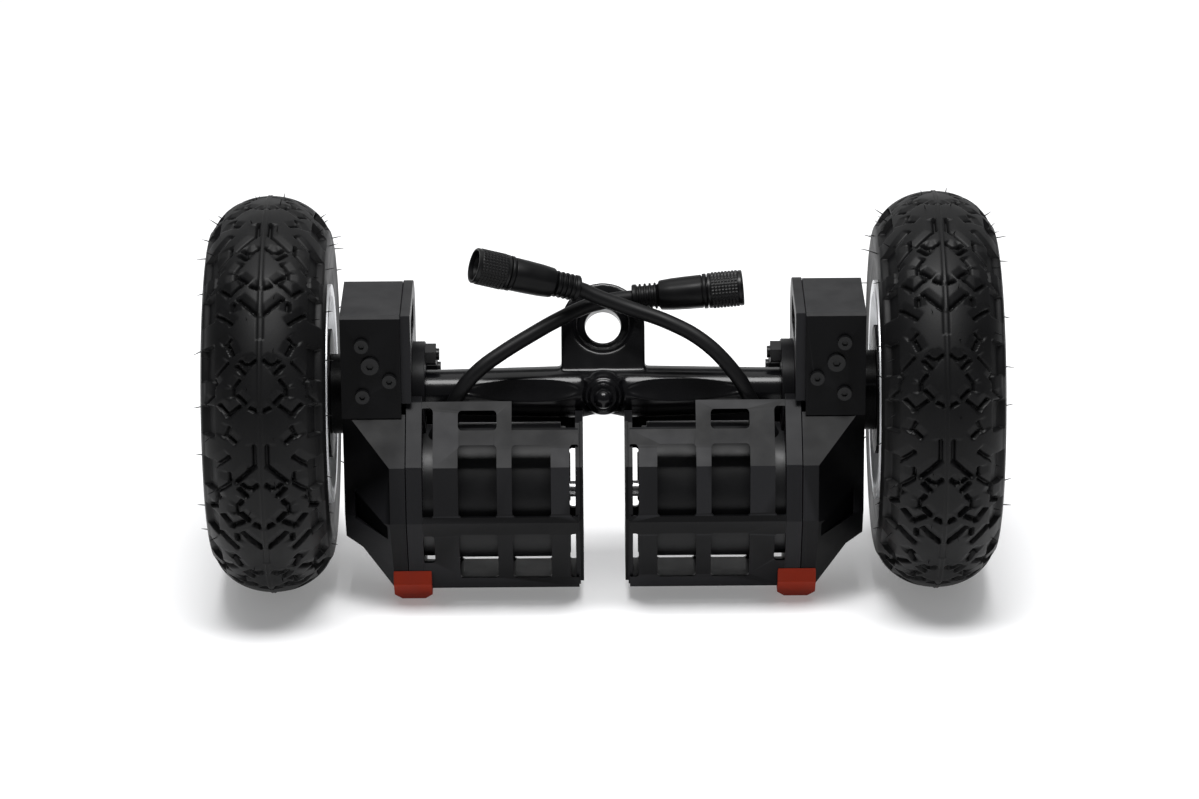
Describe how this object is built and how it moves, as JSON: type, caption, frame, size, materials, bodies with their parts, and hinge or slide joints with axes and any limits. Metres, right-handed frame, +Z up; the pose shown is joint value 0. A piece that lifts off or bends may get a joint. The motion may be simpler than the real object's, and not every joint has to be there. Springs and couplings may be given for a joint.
{
  "type": "driven off-road skateboard truck",
  "caption": "Skateboard axle unit with a forged hanger, geared motors in sheet cages, air-filled off-road tyres and plug-ended motor cables.",
  "frame": {"origin": "on the floor, under the middle of the axle", "axes": "+X along the axle, +Y to the rear (away from the pivot nose), +Z up"},
  "size_m": [0.393, 0.2, 0.2],
  "materials": {
    "forged_black": "glossy black anodised forging",
    "black_anodised": "satin black anodised, machined",
    "black_sheet": "fine matte black powder coat on bent sheet",
    "tyre": "moulded matte black rubber",
    "rim_alloy": "bright satin cast alloy",
    "steel": "machined steel",
    "black_steel": "black oxide steel",
    "motor_alloy": "dark satin alloy",
    "motor_black": "semi-gloss black painted steel",
    "copper": "enamelled copper wire on a laminated core",
    "orange_rubber": "matte moulded orange rubber",
    "cable_rubber": "matte black rubber jacket",
    "black_plastic": "moulded black plastic",
    "black_nut": "knurled black plastic"
  },
  "bodies": {
    "root": {"hanger": "forged_black", "pivot_tip": "forged_black", "axle": "steel", "left_axle_nut": "steel", "left_gear_housing": "black_anodised", "left_inner_plate": "black_anodised", "left_housing_screws": "black_steel", "left_motor_plate": "black_anodised", "left_clamp_collar": "black_anodised", "left_collar_bolts": "black_steel", "left_motor_base": "motor_alloy", "left_motor_stator": "copper", "left_shaft_bearings": "steel", "left_guard": "black_sheet", "left_guard_end_plate": "black_anodised", "left_foot": "orange_rubber", "left_cable_gland": "black_plastic", "left_cable": "cable_rubber", "left_connector_body": "black_plastic", "right_axle_nut": "steel", "right_gear_housing": "black_anodised", "right_inner_plate": "black_anodised", "right_housing_screws": "black_steel", "right_motor_plate": "black_anodised", "right_clamp_collar": "black_anodised", "right_collar_bolts": "black_steel", "right_motor_base": "motor_alloy", "right_motor_stator": "copper", "right_shaft_bearings": "steel", "right_guard": "black_sheet", "right_guard_end_plate": "black_anodised", "right_foot": "orange_rubber", "right_cable_gland": "black_plastic", "right_cable": "cable_rubber", "right_connector_body": "black_plastic"},
    "left_wheel": {"left_tyre": "tyre", "left_rim_outer": "rim_alloy", "left_rim_inner": "rim_alloy", "left_rim_bolts": "steel", "left_tyre_valve": "black_steel", "left_wheel_bearings": "steel", "left_drive_hub": "black_anodised", "left_wheel_gear": "steel"},
    "left_rotor": {"left_motor_can": "motor_black", "left_motor_shaft": "steel", "left_pinion": "steel"},
    "left_nut": {"left_coupling_nut": "black_nut"},
    "right_wheel": {"right_tyre": "tyre", "right_rim_outer": "rim_alloy", "right_rim_inner": "rim_alloy", "right_rim_bolts": "steel", "right_tyre_valve": "black_steel", "right_wheel_bearings": "steel", "right_drive_hub": "black_anodised", "right_wheel_gear": "steel"},
    "right_rotor": {"right_motor_can": "motor_black", "right_motor_shaft": "steel", "right_pinion": "steel"},
    "right_nut": {"right_coupling_nut": "black_nut"}
  },
  "joints": [
    {"name": "left_wheel_spin", "type": "hinge", "parent": "root", "child": "left_wheel", "pos_m": [-0.166, 0, 0.1], "axis": [1, 0, 0], "continuous": true},
    {"name": "left_rotor_spin", "type": "hinge", "parent": "root", "child": "left_rotor", "pos_m": [-0.05, -0.0175, 0.0545], "axis": [1, 0, 0], "continuous": true},
    {"name": "left_nut_turn", "type": "hinge", "parent": "root", "child": "left_nut", "pos_m": [0.06074, 0.0069, 0.15145], "axis": [0.9943, -0.0347, 0.1011], "continuous": true},
    {"name": "right_wheel_spin", "type": "hinge", "parent": "root", "child": "right_wheel", "pos_m": [0.166, 0, 0.1], "axis": [1, 0, 0], "continuous": true},
    {"name": "right_rotor_spin", "type": "hinge", "parent": "root", "child": "right_rotor", "pos_m": [0.05, -0.0175, 0.0545], "axis": [1, 0, 0], "continuous": true},
    {"name": "right_nut_turn", "type": "hinge", "parent": "root", "child": "right_nut", "pos_m": [-0.05485, -0.01258, 0.16972], "axis": [-0.9228, -0.2301, 0.309], "continuous": true}
  ],
  "couplings": [
    {"joint": "left_rotor_spin", "follows": "left_wheel_spin", "ratio": -2.7143},
    {"joint": "right_rotor_spin", "follows": "right_wheel_spin", "ratio": -2.7143}
  ]
}
